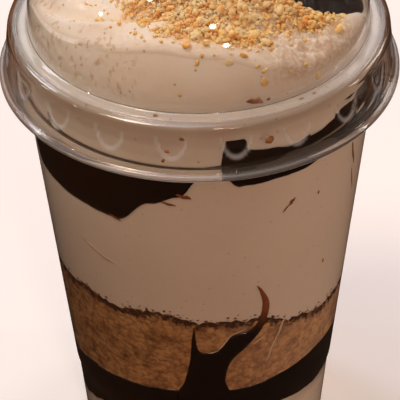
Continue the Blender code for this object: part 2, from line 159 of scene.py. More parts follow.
# Crumbs pressed to the dome, as angle, height above the deck, half length and half width, and browner
# ones stuck to the lid lower down, whose heights are above the table
DOME_CRUMBS = ((-69.3, 4.8, 0.95, 1.9), (-48.9, 2.0, 0.7, 1.2), (-80.4, 9.6, 0.8, 0.8),
               (-71.3, 8.2, 0.8, 0.5), (-69.0, 7.2, 0.6, 0.8), (-75.3, 10.6, 0.8, 0.9),
               (-79.7, 11.2, 0.5, 0.5), (-90.7, 10.0, 0.6, 0.7), (-89.1, 11.2, 0.4, 0.6),
               (-85.1, 11.2, 0.4, 0.4), (-53.7, 5.8, 0.8, 0.6), (-96.2, 3.9, 0.4, 0.4),
               (-120, 10.4, 0.3, 0.3), (-60, 5.8, 0.4, 0.3))
LID_CRUMBS = ((-72.5, 111.8, 1.9, 0.9), (-68, 111.6, 0.5, 0.4), (-70.5, 105.6, 0.9, 0.8),
              (-103.5, 110.0, 0.6, 0.4), (-57.4, 110.0, 0.6, 0.4), (-52.3, 110.0, 0.5, 0.3),
              (-100, 109.0, 0.5, 0.5), (-95.2, 107.3, 0.6, 0.3), (-99.4, 104.6, 0.6, 0.35),
              (-100.4, 102.6, 0.35, 0.35), (-78, 108.8, 0.3, 0.7), (-68.7, 108.8, 0.3, 0.6))
CRUMB_INSET = 0.13       # how far such a crumb's middle lies behind the plastic, and half its thickness
CRUMB_FLATNESS = 0.28
# Traces of sauce smeared on the wall: the (angle, height) of each one's ends, and its widest half
SAUCE_SMEARS = (((-30.6, 90.9), (-26.1, 83.5), 0.35), ((-27.5, 82.8), (-23.4, 75.6), 0.22),
                ((-58, 86.2), (-60.2, 84.6), 0.45), ((-60.2, 84.8), (-62.3, 83.3), 0.2),
                ((-47.6, 84.8), (-47.8, 83.9), 0.25), ((-39.9, 62.8), (-40.0, 61.8), 0.28),
                ((-122, 82.6), (-117.6, 81.6), 0.30), ((-98, 91.6), (-93.2, 90.7), 0.5),
                ((-103, 89.3), (-98.2, 88.6), 0.3))
CREAM_SMEARS = (((-88.8, 45.4), (-84.2, 46.2), 0.16), ((-84.3, 46.3), (-79.6, 50.6), 0.18),
                ((-79.6, 50.7), (-73.5, 52.0), 0.14), ((-136.5, 71.5), (-128.3, 69.3), 0.16),
                ((-128.6, 69.3), (-122.5, 68.4), 0.26), ((-56.9, 52.6), (-60.2, 46.5), 0.30),
                ((-60.0, 47.5), (-64.5, 39.6), 0.25), ((-66.0, 48.0), (-70.5, 46.6), 0.2))
FILM_DEPTH = 0.2

# The room: its light on the food, its reflection, what shows through clear plastic, and the backdrop
ROOM_GLOW = ((0.0, "#1E0A04"), (0.26, "#4A2613"), (0.52, "#B68E7A"), (1.0, "#AC9282"))  # left to right
ROOM_FLOOR = ((0.0, "#33221A"), (0.5, "#1E140F"), (0.92, "#3C2C22"))
ROOM_CEILING = "#B9B4B2"
ROOM_BEHIND = ((0.0, "#8A5430"), (0.5, "#6E4A32"), (1.0, "#372013"))
BACKDROP = "#FBFAF8"

CREAM_FLARE = ((99.6, 35.5), (103.0, 35.9), (106.5, 36.7), (108.2, 36.75), (109.0, 36.4))  # height, radius

# How far each food reaches into the wall; darker food lies over paler food along their border
REACH_CREAM = 0.10
REACH_CRUMB = 0.16
REACH_CHOCOLATE = 0.22
REACH_STREAK = 0.30
REACH_FILM = 0.26
LAPPED = 0.4             # how far a layer laps over or under the next one's border
UNDER_DOME = 0.05        # clearance between the cream and the inside of the dome


# ---------------------------------------------------------------- colours, nodes and meshes

def srgb(code):
    """Linear colour of an sRGB hex code."""
    channels = [int(code[place:place + 2], 16) / 255 for place in (1, 3, 5)]
    linear = [c / 12.92 if c <= 0.04045 else ((c + 0.055) / 1.055) ** 2.4 for c in channels]
    return (*linear, 1.0)


def per_mm(size):
    """Texture scale that gives a pattern of this size in millimetres."""
    return 1.0 / (size * MM)


def add(tree, kind, inputs=None, **settings):
    """Adds a node, sets its properties, and sets or links its inputs."""
    node = tree.nodes.new(kind)
    for name, value in settings.items():
        setattr(node, name, value)
    for name, value in (inputs or {}).items():
        if isinstance(value, bpy.types.NodeSocket):
            tree.links.new(value, node.inputs[name])
        else:
            node.inputs[name].default_value = value
    return node


def new_material(name, **settings):
    """A material with one Principled shader, whose constant sockets are set directly."""
    material = bpy.data.materials.new(name)
    material.use_nodes = True
    tree = material.node_tree
    shader = tree.nodes["Principled BSDF"]
    for socket, value in settings.items():
        shader.inputs[socket.replace("_", " ").title().replace("Ior", "IOR")].default_value = value
    return material, tree, shader


def ramp(tree, factor, stops):
    """Colour ramp through (position, hex colour) stops."""
    node = add(tree, "ShaderNodeValToRGB", {"Fac": factor})
    points = node.color_ramp.elements
    while len(points) < len(stops):
        points.new(0.5)
    for point, (position, code) in zip(points, stops):
        point.position = position
        point.color = srgb(code)
    return node.outputs["Color"]


def mixed(tree, factor, first, second, blend="MIX"):
    """Mix of two colours, given as sockets or hex codes."""
    chosen = [srgb(c) if isinstance(c, str) else c for c in (first, second)]
    node = add(tree, "ShaderNodeMix", {0: factor, 6: chosen[0], 7: chosen[1]},
               data_type="RGBA", blend_type=blend)
    return node.outputs[2]


def shaped(tree, factor, low, high):
    """Value eased from 0 at low to 1 at high."""
    node = add(tree, "ShaderNodeMapRange", {"Value": factor, "From Min": low, "From Max": high},
               interpolation_type="SMOOTHSTEP")
    return node.outputs["Result"]


def maths(tree, operation, *values):
    """Result of one sum on numbers or sockets."""
    return add(tree, "ShaderNodeMath", dict(enumerate(values)), operation=operation).outputs[0]


def object_place(tree):
    return add(tree, "ShaderNodeTexCoord").outputs["Object"]


def stretched(tree, place, scale):
    return add(tree, "ShaderNodeMapping", {"Vector": place, "Scale": scale}).outputs[0]


def mottled(tree, place, size, detail, roughness=0.5):
    """Noise with lumps of this size in millimetres."""
    return add(tree, "ShaderNodeTexNoise", {"Vector": place, "Scale": per_mm(size), "Detail": detail,
                                            "Roughness": roughness}).outputs["Fac"]


def cells(tree, place, size):
    """Distance from the nearest of points this many millimetres apart."""
    return add(tree, "ShaderNodeTexVoronoi", {"Vector": place, "Scale": per_mm(size)}).outputs["Distance"]


def raised(tree, shader, relief, strength, height, inward=False):
    """Gives a material a fine relief of this height in millimetres."""
    bump = add(tree, "ShaderNodeBump", {"Height": relief, "Strength": strength, "Distance": height * MM},
               invert=inward)
    tree.links.new(bump.outputs["Normal"], shader.inputs["Normal"])


def painted(tree, name):
    """Value that was painted on the mesh's corners under this name."""
    return add(tree, "ShaderNodeAttribute", attribute_name=name).outputs["Fac"]


def paint(piece, name, value_at):
    """Stores a value from 0 to 1 at each corner, from its angle, radius and height."""
    stored = piece.data.attributes.new(name, "FLOAT", "POINT")
    for corner, value in zip(piece.data.vertices, stored.data):
        x, y, height = corner.co / MM
        value.value = value_at(math.degrees(math.atan2(y, x)), math.hypot(x, y), height)


def mesh_piece(name, points, faces, material):
    """Closed smooth mesh from points in millimetres, with its faces turned outward."""
    mesh = bpy.data.meshes.new(name)
    mesh.from_pydata([Vector(p) * MM for p in points], [], faces)
    built = bmesh.new()
    built.from_mesh(mesh)
    bmesh.ops.recalc_face_normals(built, faces=built.faces)
    built.to_mesh(mesh)
    built.free()
    mesh.shade_smooth()
    piece = bpy.data.objects.new(name, mesh)
    bpy.context.scene.collection.objects.link(piece)
    mesh.materials.append(material)
    return piece


def skin(rings):
    """Points and faces of a surface through rings of equal count, from one single point to another."""
    points, faces, starts = [], [], []
    for ring in rings:
        starts.append(len(points))
        points.extend(ring)
    for place in range(len(rings) - 1):
        lower, upper = rings[place], rings[place + 1]
        low, high = starts[place], starts[place + 1]
        count = max(len(lower), len(upper))
        for step in range(count):
            following = (step + 1) % count
            if len(lower) == 1:
                faces.append((low, high + following, high + step))
            elif len(upper) == 1:
                faces.append((low + step, low + following, high))
            else:
                faces.append((low + step, low + following, high + following, high + step))
    return points, faces


def at_angle(radius, angle):
    """Across and back of a point at this radius and angle."""
    turn = math.radians(angle)
    return radius * math.cos(turn), radius * math.sin(turn)


def ring_at(count, place):
    """Ring of points; place gives (radius, height) at an angle in degrees."""
    ring = []
    for step in range(count):
        angle = 360 * step / count - 180
        radius, height = place(angle)
        ring.append((*at_angle(radius, angle), height))
    return ring


def turned(profile, count, shape=lambda angle, height: 0.0):
    """Surface of revolution of a profile that starts and ends on the axis."""
    return skin([[(0, 0, height)] if radius == 0 else
                 ring_at(count, lambda angle, r=radius, h=height: (r + shape(angle, h), h))
                 for radius, height in profile])


def arc(centre, radius, start, end, steps):
    turns = [math.radians(start + (end - start) * step / steps) for step in range(steps + 1)]
    return [(centre[0] + radius * math.cos(turn), centre[1] + radius * math.sin(turn)) for turn in turns]


def run(start, end, steps):
    """Points of a straight stretch, without its first."""
    return [(start[0] + (end[0] - start[0]) * step / steps, start[1] + (end[1] - start[1]) * step / steps)
            for step in range(1, steps + 1)]


def smooth_stops(stops, angle):
    """Height at an angle, eased between the nearest stops of a ring of (angle, height)."""
    turned_angle = (angle - stops[0][0]) % 360 + stops[0][0]
    ring = list(stops) + [(stops[0][0] + 360, stops[0][1])]
    for (start, low), (end, high) in zip(ring, ring[1:]):
        if turned_angle <= end:
            share = (turned_angle - start) / (end - start)
            return low + (high - low) * share * share * (3 - 2 * share)
    return stops[0][1]


def mean_height(stops):
    return sum(smooth_stops(stops, angle) for angle in range(0, 360, 10)) / 36


def outer_wall(height):
    return BASE_RADIUS + TAPER * height


def inner_wall(height):
    return outer_wall(min(height, CUP_HEIGHT)) - PLASTIC


def on_wall(angle, height, reach=0.0):
    """Point on the inside of the tumbler's wall, or a little way into the plastic."""
    return Vector((*at_angle(inner_wall(height) + reach, angle), height))


def eased(value, low, high):
    """0 below low, 1 above high and smooth between; low may be above high."""
    share = min(max((value - low) / (high - low), 0.0), 1.0)
    return share * share * (3 - 2 * share)


def dome_radius(height_above_deck, thickness=0.0):
    rise = min(max(height_above_deck / (DOME_HEIGHT - thickness), 0.0), 1.0)
    return (DOME_RADIUS - thickness) * (1 - rise ** DOME_SQUARENESS) ** (1 / DOME_SQUARENESS)


def ripple(x, y, z, size, seed=0.0):
    """Smooth noise from -1 to 1 with lumps of about this size in millimetres."""
    return noise.noise(Vector((x, y, z + 100 * seed)) / size)


def oval_reach(x, y, centre, radii):
    """Distance from an oval's middle, as a share of its size."""
    return math.hypot((x - centre[0]) / radii[0], (y - centre[1]) / radii[1])


# ---------------------------------------------------------------- materials

def clear_pet(name):
    """PET sheet, thermoformed: colourless, glossy, bright where it bends. Light that only goes to
    lighting the food passes straight through, as it does through a wall this thin. Where the sheet
    was stretched most it is faintly white; its pale rings round the dimples are a painted reflection
    and its whiter deck at the right a painted highlight. Less light gets through it where it bends."""
    tint = "#FDFCFA"
    material, tree, shader = new_material(name, base_color=srgb(tint), roughness=0.03, ior=1.57,
                                          transmission_weight=1.0)
    white = add(tree, "ShaderNodeBsdfDiffuse", {"Color": srgb("#E9F0F7")})
    surface = add(tree, "ShaderNodeMixShader", {0: painted(tree, "haze"), 1: shader.outputs[0],
                                                2: white.outputs[0]})
    path = add(tree, "ShaderNodeLightPath")
    straight = maths(tree, "MAXIMUM", path.outputs["Is Shadow Ray"], path.outputs["Is Diffuse Ray"])
    let_through = mixed(tree, painted(tree, "shade"), tint, "#D2CEC9")
    clear = add(tree, "ShaderNodeBsdfTransparent", {"Color": let_through})
    both = add(tree, "ShaderNodeMixShader", {0: straight, 1: surface.outputs[0], 2: clear.outputs[0]})
    tree.links.new(both.outputs[0], tree.nodes["Material Output"].inputs["Surface"])
    return material


def set_cream(name, pale, deep, pits, lumps, glow, whipped=False):
    """Whipped dairy cream or mousse pressed smooth: soft, faintly mottled, with burst air bubbles in
    painted shade.

    lumps is the size of its mottling and glow how far light spreads inside it, in millimetres.
    """
    material, tree, shader = new_material(name, roughness=0.55, ior=1.45, subsurface_weight=0.4)
    shader.inputs["Subsurface Radius"].default_value = (1.0, 0.62, 0.42)
    shader.inputs["Subsurface Scale"].default_value = glow * MM
    place = object_place(tree)
    fine = mottled(tree, place, 1.2, 4.0)
    tone = mixed(tree, shaped(tree, mottled(tree, place, lumps, 3.0), 0.3, 0.7), deep, pale)
    tone = mixed(tree, 0.10, tone, fine, "SOFT_LIGHT")
    # painted shade: burst bubbles darkened towards the pits colour
    tone = mixed(tree, shaped(tree, cells(tree, place, 2.6), 0.14, 0.05), tone, pits)
    relief = fine
    if whipped:
        tone, relief = pits_dust_and_curds(tree, place, tone, pits, fine)
    tree.links.new(tone, shader.inputs["Base Color"])
    raised(tree, shader, relief, 0.25, 0.15)
    return material


def pits_dust_and_curds(tree, place, tone, pits, fine):
    """Colour and relief of whipped cream with what is painted on it: tall burst bubbles in painted
    shade, fine golden dust, and pale curds with painted shade in the gaps between them."""
    tall = stretched(tree, place, (1.0, 1.0, 0.45))
    bubble_pit_and_shade = maths(tree, "MULTIPLY", shaped(tree, mottled(tree, tall, 1.0, 2.0), 0.54, 0.68),
                 painted(tree, "pitted"))
    # painted shade: the burst bubbles darkened towards the pits colour
    tone = mixed(tree, bubble_pit_and_shade, tone, mixed(tree, 0.6, tone, pits))
    dust = maths(tree, "MULTIPLY_ADD", fine, 0.9, painted(tree, "dusted"))
    tone = mixed(tree, shaped(tree, dust, 0.75, 1.15), tone, "#F6D09A")
    torn = painted(tree, "curdled")
    curd = maths(tree, "MULTIPLY", torn, shaped(tree, mottled(tree, place, 0.9, 5.0, 0.75), 0.42, 0.6))
    # painted shade: the gaps between curds darkened
    gap_shade = maths(tree, "SUBTRACT", torn, curd)
    tone = mixed(tree, gap_shade, tone, mixed(tree, 0.55, tone, "#BFA079"))
    sunk = maths(tree, "MULTIPLY_ADD", bubble_pit_and_shade, -2.5, fine)
    return tone, maths(tree, "MULTIPLY_ADD", curd, 5.0, sunk)


def dark_chocolate(name, dark, brown, roughness, runs=False):
    """Dark chocolate sauce: nearly black where thick, brown where it thins, wet and glossy. Where it
    runs down a slope it dries in ridges from front to back."""
    material, tree, shader = new_material(name, roughness=roughness, ior=1.47)
    place = object_place(tree)
    cloud = mottled(tree, place, 6.0, 4.0)
    tree.links.new(ramp(tree, cloud, ((0.35, dark), (0.75, brown))), shader.inputs["Base Color"])
    if runs:
        ridges = mottled(tree, stretched(tree, place, (1.0, 0.12, 0.12)), 1.5, 3.0)
        raised(tree, shader, ridges, 0.9, 5.0)
    else:
        raised(tree, shader, cloud, 0.3, 0.4)
    return material


def thinning_chocolate(name, dark, brown, low, high):
    """The same sauce where it has run up the wall: it thins to reddish brown between two heights."""
    material, tree, shader = new_material(name, roughness=0.35, ior=1.47)
    place = object_place(tree)
    height = add(tree, "ShaderNodeSeparateXYZ", {"Vector": place}).outputs["Z"]
    waver = 6.0    # millimetres between the lowest and the highest start of the thinning
    uneven = maths(tree, "MULTIPLY_ADD", mottled(tree, place, 3.0, 3.0), waver * MM, height)
    thin = shaped(tree, uneven, (low + waver / 2) * MM, (high + waver / 2) * MM)
    tree.links.new(mixed(tree, thin, dark, brown), shader.inputs["Base Color"])
    return material


def pressed_crumb(name, pale, mid, dark, rim):
    """Biscuit crumb pressed against the wall: grains of 0.4 to 2 mm, darker between them as painted
    shade, paler towards the right as painted light, and an uneven dark line where sauce soaked into
    its top."""
    material, tree, shader = new_material(name, roughness=0.8, ior=1.45)
    place = object_place(tree)
    grains = cells(tree, place, 1.2)
    tone = ramp(tree, mottled(tree, place, 3.6, 6.0, 0.7), ((0.33, dark), (0.44, mid), (0.58, pale)))
    # painted shade: darker in the gaps between grains
    tone = mixed(tree, shaped(tree, grains, 0.40, 0.80), tone, mixed(tree, 0.5, tone, dark))
    tone = mixed(tree, 0.6, tone, mottled(tree, place, 0.8, 4.0, 0.7), "SOFT_LIGHT")
    # painted light: paler towards the right, where more light falls
    sideways = add(tree, "ShaderNodeSeparateXYZ", {"Vector": place}).outputs["X"]
    lit_from_right = maths(tree, "MULTIPLY", shaped(tree, sideways, -5 * MM, 30 * MM), 0.45)
    tone = mixed(tree, lit_from_right, tone, mixed(tree, 0.3, tone, "#FFF0DC", "ADD"))
    near_top = maths(tree, "MULTIPLY", painted(tree, "near_top"), 0.7)
    soaked = maths(tree, "MULTIPLY_ADD", mottled(tree, place, 1.5, 4.0, 0.65), 1.6, near_top)
    tone = mixed(tree, shaped(tree, soaked, 1.14, 1.48), tone, rim)
    tree.links.new(tone, shader.inputs["Base Color"])
    raised(tree, shader, grains, 0.5, 0.3, inward=True)
    return material


def golden_crumb(name, baked, golden, pale, palest):
    """Butter biscuit, oven baked and crushed: each crumb its own gold, darker on baked faces."""
    material, tree, shader = new_material(name, roughness=0.75, ior=1.45, subsurface_weight=0.5)
    shader.inputs["Subsurface Radius"].default_value = (1.0, 0.85, 0.65)
    shader.inputs["Subsurface Scale"].default_value = 1.0 * MM
    place = object_place(tree)
    tone = ramp(tree, mottled(tree, place, 2.4, 1.0),
                ((0.30, baked), (0.42, golden), (0.55, pale), (0.70, palest)))
    tone = mixed(tree, 0.3, tone, mottled(tree, place, 0.4, 3.0), "SOFT_LIGHT")
    tree.links.new(tone, shader.inputs["Base Color"])
    return material


# ---------------------------------------------------------------- tumbler and lid

def make_tumbler(finish):
    """Thermoformed tumbler with a rounded foot, a stacking ledge and a rolled rim."""
    rim_foot, ledge_top = CUP_HEIGHT - RIM_DROP, FOOT_HEIGHT + LEDGE_HEIGHT
    foot_top = (outer_wall(FOOT_HEIGHT) - FOOT_STEP, FOOT_HEIGHT)
    wall_foot = (outer_wall(ledge_top), ledge_top)
    mouth_foot = CUP_HEIGHT - MOUTH_DEPTH
    edge = arc((BASE_RADIUS - BASE_EDGE, BASE_EDGE), BASE_EDGE, -90, 0, 8)
    profile = [(0, 0)] + run((0, 0), (BASE_RADIUS - BASE_EDGE, 0), 4)[:-1] + edge
    profile += run(edge[-1], foot_top, 6) + run(foot_top, wall_foot, 3)
    profile += run(wall_foot, (outer_wall(rim_foot - 1.0), rim_foot - 1.0), 16)
    profile += run(profile[-1], (outer_wall(rim_foot) + RIM_SPREAD, rim_foot - 0.1), 3)
    profile += arc((RIM_RADIUS - RIM_ROLL, CUP_HEIGHT - RIM_ROLL), RIM_ROLL, -80, 90, 10)
    profile += run(profile[-1], (inner_wall(CUP_HEIGHT) + MOUTH_SPREAD, CUP_HEIGHT), 3)
    profile += run(profile[-1], (inner_wall(mouth_foot), mouth_foot), 3)
    profile += run(profile[-1], (inner_wall(FLOOR_THICKNESS), FLOOR_THICKNESS), 16)
    profile += run(profile[-1], (0, FLOOR_THICKNESS), 3)
    piece = mesh_piece("tumbler", *turned(profile, 192), finish)
    piece.data.set_sharp_from_angle(angle=math.radians(50))
    paint(piece, "haze", lambda angle, radius, height: RIM_HAZE * eased(height, rim_foot - 0.6, rim_foot))
    return piece


def dimple_reach(angle, height):
    """Distance from the middle of the nearest dimple's top edge, as a share of the dimple's size."""
    spacing = 360 / DIMPLES
    away = (angle - DIMPLE_PHASE + spacing / 2) % spacing - spacing / 2
    across = abs(math.radians(away)) * SKIRT_TOP_RADIUS / DIMPLE_WIDTH
    return math.hypot(across, (SKIRT_TOP - height) / DIMPLE_DROP)


def dimple(angle, height):
    """Inward push of the dimples pressed into the skirt, which fade out under the shoulder."""
    if not SKIRT_TOP - 1.6 * DIMPLE_DROP < height < SKIRT_TOP:
        return 0.0
    pocket = eased(dimple_reach(angle, height), 1.15, 0.85)
    return -DIMPLE_DEPTH * pocket * eased(height, SKIRT_TOP, SKIRT_TOP - 1.8)


def haze(angle, radius, height):
    """How white the lid's sheet is: along the deck, in a ring round each dimple as a painted
    reflection, on the bead, and more on the deck at the right as a painted highlight.
    """
    if height > DECK_LEVEL + 1.5:
        return 0.0
    deck = eased(radius, DOME_RADIUS - 0.6, DOME_RADIUS + 0.3)
    deck *= eased(radius, CREASE_RADIUS + 0.2, CREASE_RADIUS) * (height >= DECK_LEVEL - 0.7)
    # painted reflection: a pale ring round each dimple
    ring = math.exp(-abs((dimple_reach(angle, height) - 1.05) / DIMPLE_RING) ** 4)
    skirt = eased(height, SKIRT_TOP, SKIRT_TOP - 0.8) * eased(height, BEAD_LEVEL + 1, BEAD_LEVEL + 2)
    bead = eased(radius, SKIRT_FOOT_RADIUS + 0.1, SKIRT_FOOT_RADIUS + 0.5)
    # painted highlight: whiter deck at the right, where a lamp is reflected
    right_highlight = 1 + DECK_RIGHT_HIGHLIGHT * eased(angle, -58, -34) * eased(angle, 5, -15)
    return max(DECK_HAZE * right_highlight * deck, RING_REFLECTION * ring * skirt, BEAD_HAZE * bead)


def shade(angle, radius, height):
    """Where the sheet takes away some of the light: most in the shoulder, less in deck and skirt."""
    if radius < DOME_RADIUS - 0.3 or height > DECK_LEVEL + 0.6:
        return 0.0
    if radius < CREASE_RADIUS:
        return DECK_SHADE
    return SKIRT_SHADE + (1 - SKIRT_SHADE) * eased(height, SKIRT_TOP - 1.5, SKIRT_TOP)


def dome_profile(thickness, steps):
    """Points down one face of the dome, from the axis to the deck."""
    height = DOME_HEIGHT - thickness
    points = [(0, DECK_LEVEL + height)]
    for step in range(steps - 1, -1, -1):
        rise = height * math.sin(math.pi / 2 * step / steps)
        points.append((dome_radius(rise, thickness), DECK_LEVEL + rise))
    return points


def make_lid(finish):
    """One thermoformed sheet: dome, deck, crease, rounded shoulder, dimpled skirt and bead."""
    bead_top, lip = BEAD_LEVEL + BEAD_HALF_HEIGHT, BEAD_LEVEL - BEAD_HALF_HEIGHT
    skirt_foot = bead_top + SKIRT_LIFT
    outside = dome_profile(0.0, 34)
    outside += arc((DOME_RADIUS + DOME_FILLET, DECK_LEVEL + DOME_FILLET), DOME_FILLET, 180, 270, 4)[1:]
    outside += run(outside[-1], (CREASE_RADIUS - 0.15, DECK_LEVEL), 3)
    outside += [(CREASE_RADIUS - 0.05, DECK_LEVEL - 0.06), (CREASE_RADIUS, DECK_LEVEL - CREASE_DROP)]
    outside += [(CREASE_RADIUS + 0.08, DECK_LEVEL - 0.14)]
    outside += arc(SHOULDER_CENTRE, SHOULDER_RADIUS, 86, 8, 9)
    outside += run(outside[-1], (SKIRT_FOOT_RADIUS, skirt_foot), 30)
    outside += [(SKIRT_FOOT_RADIUS + 0.1, bead_top + 0.04), (SKIRT_FOOT_RADIUS + 0.3, bead_top)]
    outside += arc((BEAD_RADIUS - BEAD_ROLL, bead_top - BEAD_ROLL), BEAD_ROLL, 90, 0, 6)
    outside += arc((BEAD_RADIUS - LIP_ROLL, lip + LIP_ROLL), LIP_ROLL, 0, -180, 8)
    inner_foot = (SKIRT_FOOT_RADIUS - SHEET, bead_top)
    inside = [(BEAD_RADIUS - SHEET, bead_top - SHEET - 0.1), (BEAD_RADIUS - 0.6, bead_top - SHEET)]
    inside += [(SKIRT_FOOT_RADIUS + 0.1, bead_top - SHEET), inner_foot]
    shoulder = arc(SHOULDER_CENTRE, SHOULDER_RADIUS - SHEET, 8, 84, 8)
    inside += run(inner_foot, shoulder[0], 30)[:-1] + shoulder
    inside += [(CREASE_RADIUS, DECK_LEVEL - 0.14 - SHEET), (CREASE_RADIUS - 0.2, DECK_LEVEL - SHEET)]
    inside += run(inside[-1], (DOME_RADIUS - SHEET + 0.3, DECK_LEVEL - SHEET), 3)
    inside += list(reversed(dome_profile(SHEET, 30)))

    def pressed(angle, height):
        return dimple(angle, height) if skirt_foot < height < SKIRT_TOP else 0.0

    piece = mesh_piece("dome_lid", *turned(outside + inside, DIMPLES * 22, pressed), finish)
    piece.data.set_sharp_from_angle(angle=math.radians(75))
    paint(piece, "haze", haze)
    paint(piece, "shade", shade)
    return piece


# ---------------------------------------------------------------- layers against the wall

def surface_of(edge, reach, share):
    """Place on a layer's surface at a share of its radius; it levels out towards the axis."""
    def place(angle):
        height = edge["middle"] + (edge["at"](angle) - edge["middle"]) * share ** 1.5
        return share * (inner_wall(height) + reach), height
    return place


def layer(name, floor, top, reach, finish, rows=24):
    """Disc of food between two ragged surfaces, whose side reaches just into the wall."""
    count, shares = 240, (0.3, 0.6, 0.85)

    def side(share):
        def place(angle):
            low, high = floor["at"](angle), top["at"](angle)
            height = low + (high - low) * share
            return inner_wall(height) + reach, height
        return place

    rings = [[(0, 0, floor["middle"])]]
    rings += [ring_at(count, surface_of(floor, reach, share)) for share in shares]
    rings += [ring_at(count, side(row / rows)) for row in range(rows + 1)]
    rings += [ring_at(count, surface_of(top, reach, share)) for share in reversed(shares)]
    rings += [[(0, 0, top["middle"])]]
    return mesh_piece(name, *skin(rings), finish)


def border(stops, ragged=0.0, size=2.0, offset=0.0, seed=1.0):
    """Border of a layer along the wall, with an uneven edge of this height and grain size."""
    def at(angle):
        height = smooth_stops(stops, angle) + offset
        if ragged:
            x, y, _ = on_wall(angle, height)
            height += ragged * ripple(x, y, 0.0, size, seed)
            height += 0.5 * ragged * ripple(x, y, 9.0, size / 3, seed)
        return height
    return {"at": at, "middle": mean_height(stops) + offset}


def level(height):
    return {"at": lambda angle: height, "middle": height}


def smooth_outline(points, steps):
    """Closed Catmull-Rom curve through the points."""
    count = len(points)
    curve = []
    for place in range(count):
        before, start, end, after = (points[(place + shift) % count] for shift in (-1, 0, 1, 2))
        for step in range(steps):
            t = step / steps
            curve.append(tuple(0.5 * (2 * b + (c - a) * t + (2 * a - 5 * b + 4 * c - d) * t * t
                                      + (3 * b - a - 3 * c + d) * t ** 3)
                               for a, b, c, d in zip(before, start, end, after)))
    return curve


def wall_patch(outline, reach, depth, grid=0.7, edge=0.12):
    """Points and faces of a closed patch on the inside of the wall, with an outline of (angle, height).

    reach is how far its face goes into the plastic, depth how far it reaches back into the food.
    """
    scale = math.radians(1) * inner_wall(outline[0][1])
    flat = [Vector((angle * scale, height)) for angle, height in outline]
    low_x, high_x = min(p.x for p in flat), max(p.x for p in flat)
    low_y, high_y = min(p.y for p in flat), max(p.y for p in flat)
    inner = []
    for column in range(1, int((high_x - low_x) / grid)):
        for row in range(1, int((high_y - low_y) / grid)):
            spot = Vector((low_x + (column + 0.5 * (row % 2)) * grid, low_y + row * grid))
            if inside(flat, spot) and min((spot - p).length for p in flat) > 0.45 * grid:
                inner.append(spot)
    count = len(flat)
    edges = [(step, (step + 1) % count) for step in range(count)]
    spots, _, triangles, *_ = geometry.delaunay_2d_cdt(flat + inner, edges, [], 1, 1e-5)
    points = [on_wall(spot.x / scale, spot.y, reach - (edge if number < count else 0.0))
              for number, spot in enumerate(spots)]
    points += [on_wall(spot.x / scale, spot.y, -depth) for spot in spots]
    total = len(spots)
    faces = [tuple(t) for t in triangles]
    faces += [tuple(total + corner for corner in reversed(t)) for t in triangles]
    used = {}
    for a, b, c in triangles:
        for pair in ((a, b), (b, c), (c, a)):
            used[frozenset(pair)] = used.get(frozenset(pair), 0) + 1
    faces += [(*pair, total + pair[1], total + pair[0])
              for pair in (tuple(p) for p, times in used.items() if times == 1)]
    return points, faces


def smear_outline(start, end, half_width, draw):
    """Outline of a thin wavering smear that tapers to both ends."""
    scale = math.radians(1) * inner_wall(start[1])
    along = Vector(((end[0] - start[0]) * scale, end[1] - start[1]))
    aside = Vector((-along.y, along.x)).normalized()
    steps = max(6, int(along.length / 0.5))
    sides = ([], [])
    for step in range(steps + 1):
        share = step / steps
        bend = aside * 0.25 * half_width * math.sin(9 * share + draw.random())
        swell = half_width * (0.25 + 0.75 * math.sin(math.pi * share)) * draw.uniform(0.7, 1.1)
        for side, sign in zip(sides, (1, -1)):
            spot = along * share + bend + aside * (sign * swell)
            side.append((start[0] + spot.x / scale, start[1] + spot.y))
    return sides[0] + sides[1][::-1]


def make_smears(name, smears, finish):
    """Traces of one food, each a thin film against the wall."""
    draw = random.Random(5)
    parts = [wall_patch(smear_outline(*smear, draw), REACH_FILM, FILM_DEPTH, 0.3, 0.04) for smear in smears]
    return joined(name, parts, finish)


def inside(outline, spot):
    """True if a point lies in a closed outline."""
    within = False
    for start, end in zip(outline, outline[1:] + outline[:1]):
        if (start.y > spot.y) != (end.y > spot.y):
            if spot.x < (end.x - start.x) * (spot.y - start.y) / (end.y - start.y) + start.x:
                within = not within
    return within


# ---------------------------------------------------------------- whipped cream and toppings

def swirl_height(x, y):
    """Height above the deck of the whipped cream's top."""
    radius = math.hypot(x, y)
    angle = math.degrees(math.atan2(y, x))
    share = min(radius / DOME_RADIUS, 1.0) ** SWIRL_ROUNDNESS
    mound = SWIRL_PEAK + (smooth_stops(SWIRL_EDGE, angle) - SWIRL_PEAK) * share
    coil = COIL_RELIEF * math.cos(math.tau * (radius / COIL_PITCH - angle / 360)) * min(radius / 8, 1)
    return mound + coil - HOLLOW_DEPTH * math.exp(-hollow_reach(x, y) ** 4)


def hollow_reach(x, y):
    return oval_reach(x, y, HOLLOW_CENTRE, HOLLOW_RADII)


def coil_crease(x, y):
    """Depth of the crease between the outermost coil of cream and the next one."""
    angle = math.degrees(math.atan2(y, x))
    line = CREASE_START[1] + CREASE_SLOPE * (angle - CREASE_START[0])
    fade = eased(angle, -166, -152) * eased(angle, -70, -112)
    off = (math.hypot(x, y) - line) / CREASE_WIDTH
    crest = math.exp(-((math.hypot(x, y) - line - RIBBON_OFFSET) / RIBBON_WIDTH) ** 2)
    return fade * (CREASE_DEPTH * math.exp(-abs(off) ** 1.5) - RIBBON_RISE * crest)


def cream_texture(x, y):
    """Relief of whipped cream: soft lumps with small wrinkles, and torn, curdled cream on the right."""
    def lumps(size, seed):
        return ripple(x, y, 0.0, size, seed)

    wrinkle = abs(lumps(3.2, 3)) + 0.5 * abs(lumps(1.5, 4))
    soft = 0.35 * lumps(6.0, 2) - 0.45 * wrinkle + 0.08 * lumps(0.7, 5)
    torn = eased(math.hypot(x - TORN_CENTRE[0], y - TORN_CENTRE[1]), TORN_REACH, 0.4 * TORN_REACH)
    return soft + torn * (1.5 * (lumps(1.3, 8) + 0.6 * lumps(0.65, 9)) - abs(lumps(2.2, 10)))


